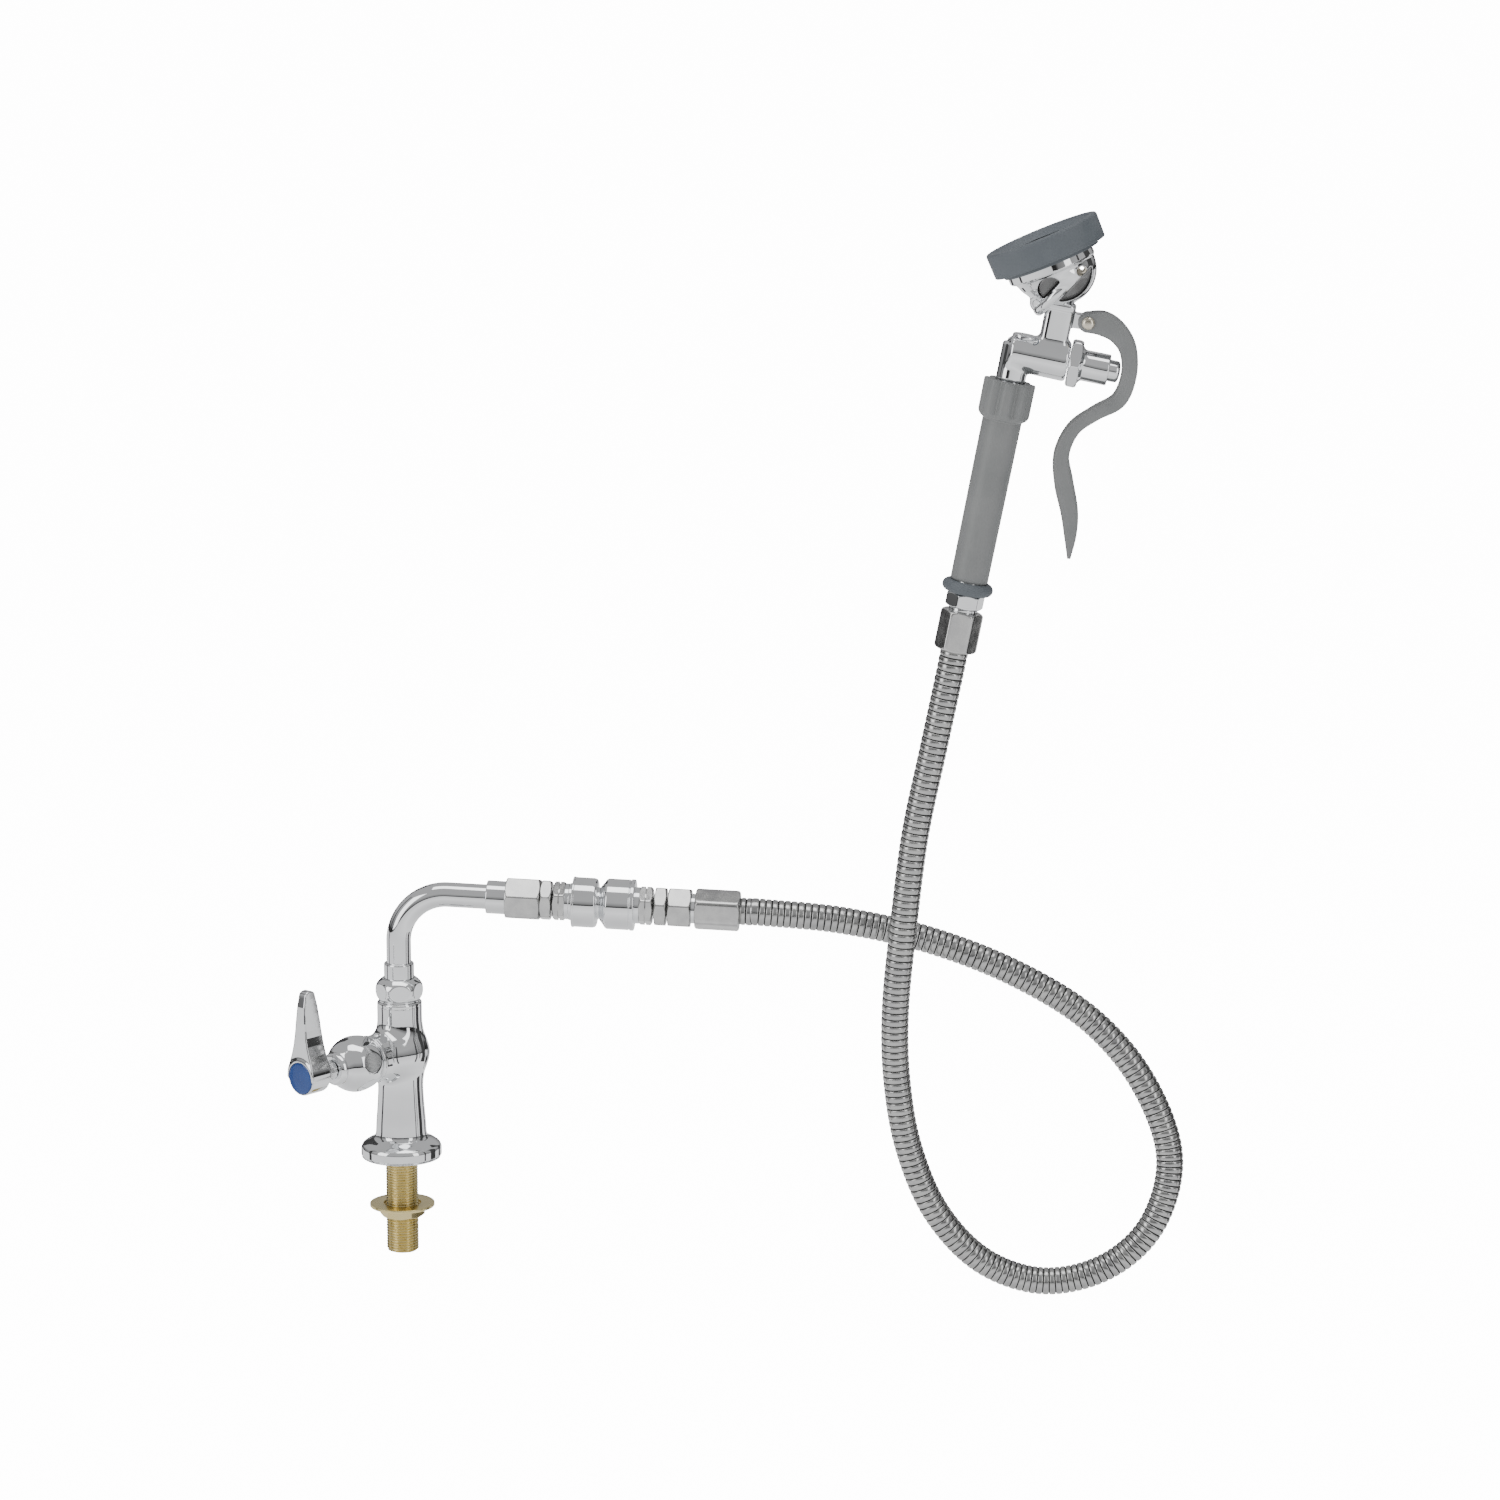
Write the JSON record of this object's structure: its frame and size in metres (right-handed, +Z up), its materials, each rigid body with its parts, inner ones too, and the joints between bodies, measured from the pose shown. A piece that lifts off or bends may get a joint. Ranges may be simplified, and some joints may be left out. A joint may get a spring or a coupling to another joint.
{
  "type": "pre rinse faucet",
  "caption": "Deck-mounted pre-rinse faucet: side-handle valve, swivel arm, inline check valve, armoured hose in a loop and a hand spray valve with squeeze lever.",
  "frame": {"origin": "on the mounting shank's axis at the deck plane, the underside of the base flange", "axes": "+Z up, +X along the swivel arm at rest; the handle side faces -Y and -X"},
  "size_m": [0.5665, 0.1039, 0.6972],
  "materials": {
    "chrome": "polished chrome plate",
    "plated_brass": "dull chrome plate with fine grain",
    "brass": "satin machined",
    "hose_steel": "fine brushed, interlocked coils",
    "spring_steel": "drawn wire",
    "ceramic": "polished ceramic",
    "white_plastic": "moulded",
    "black_rubber": "matte",
    "gray_rubber": "matte moulded rubber",
    "gray_plastic": "satin moulded",
    "blue_plastic": "glossy, no mark",
    "nickel": "nickel plate"
  },
  "bodies": {
    "base": {"faucet_body": "chrome", "mounting_shank": "brass", "deck_washer": "brass", "lock_nut": "brass", "valve_bonnet": "chrome", "bonnet_collar": "chrome", "cartridge_body": "brass", "fixed_disc": "ceramic", "cartridge_gasket": "black_rubber", "packing_nut": "chrome", "swivel_washer": "black_rubber"},
    "handle": {"lever_handle": "chrome", "handle_screw": "chrome", "index_button": "blue_plastic", "valve_stem": "chrome", "stem_o_ring": "black_rubber", "turning_disc": "ceramic"},
    "arm": {"arm_tube": "chrome", "arm_collar": "chrome", "swivel_o_rings": "black_rubber", "arm_end_sleeve": "chrome", "coupling_hex": "plated_brass", "inlet_nipple": "plated_brass", "check_inlet_adapter": "plated_brass", "check_inlet_housing": "chrome", "check_vent_ring": "chrome", "vent_diaphragm": "black_rubber", "check_outlet_housing": "chrome", "check_outlet_adapter": "plated_brass", "outlet_nipple": "plated_brass", "first_check_spring": "spring_steel", "second_check_spring": "spring_steel", "hose_nut": "plated_brass", "hose_tail": "chrome", "hose_ferrule_inlet": "plated_brass", "hose_armour": "hose_steel", "hose_liner": "black_rubber", "hose_ferrule_spray": "plated_brass", "hose_swivel_tail": "chrome"},
    "first_check": {"first_check_poppet": "white_plastic"},
    "second_check": {"second_check_poppet": "white_plastic"},
    "spray_valve": {"hose_swivel_nut": "chrome", "hose_washer": "black_rubber", "grip_ring": "gray_rubber", "grip": "gray_plastic", "handle_tube": "chrome", "spray_valve_body": "chrome", "body_plug": "chrome", "spray_bonnet": "chrome", "return_spring": "spring_steel", "lever_screw": "nickel", "spray_head": "chrome", "spray_disc": "chrome", "face_screw": "chrome", "spray_bumper": "gray_rubber", "stem_seal": "black_rubber"},
    "lever": {"squeeze_lever": "gray_plastic"},
    "plunger": {"push_stem": "chrome", "seat_washer": "black_rubber"}
  },
  "joints": [
    {"name": "valve_turn", "type": "hinge", "parent": "base", "child": "handle", "pos_m": [0, 0, 0.07], "axis": [-0.6018, -0.7986, 0], "range_deg": [0, 90]},
    {"name": "arm_swivel", "type": "hinge", "parent": "base", "child": "arm", "pos_m": [0, 0, 0.1], "axis": [0, 0, 1], "continuous": true},
    {"name": "spray_swivel", "type": "hinge", "parent": "arm", "child": "spray_valve", "pos_m": [0.36151, -0.035, 0.37261], "axis": [0.1908, 0, 0.9816], "continuous": true},
    {"name": "lever_squeeze", "type": "hinge", "parent": "spray_valve", "child": "lever", "pos_m": [0.43608, -0.035, 0.54871], "axis": [0, 1, 0], "range_deg": [0, 10], "stiffness_Nm_per_rad": 2, "springref_deg": -20.05},
    {"name": "plunger_slide", "type": "slide", "parent": "spray_valve", "child": "plunger", "axis": [-0.9816, 0, 0.1908], "range_m": [0, 0.0047], "deforming": ["return_spring"]},
    {"name": "first_check_slide", "type": "slide", "parent": "arm", "child": "first_check", "axis": [0.9991, 0, -0.0419], "range_m": [0, 0.003], "stiffness_N_per_m": 60, "springref_m": -0.004, "deforming": ["first_check_spring"]},
    {"name": "second_check_slide", "type": "slide", "parent": "arm", "child": "second_check", "axis": [0.9991, 0, -0.0419], "range_m": [0, 0.003], "stiffness_N_per_m": 60, "springref_m": -0.004, "deforming": ["second_check_spring"]}
  ],
  "couplings": [
    {"joint": "plunger_slide", "follows": "lever_squeeze", "m_per_rad": 0.0262}
  ]
}
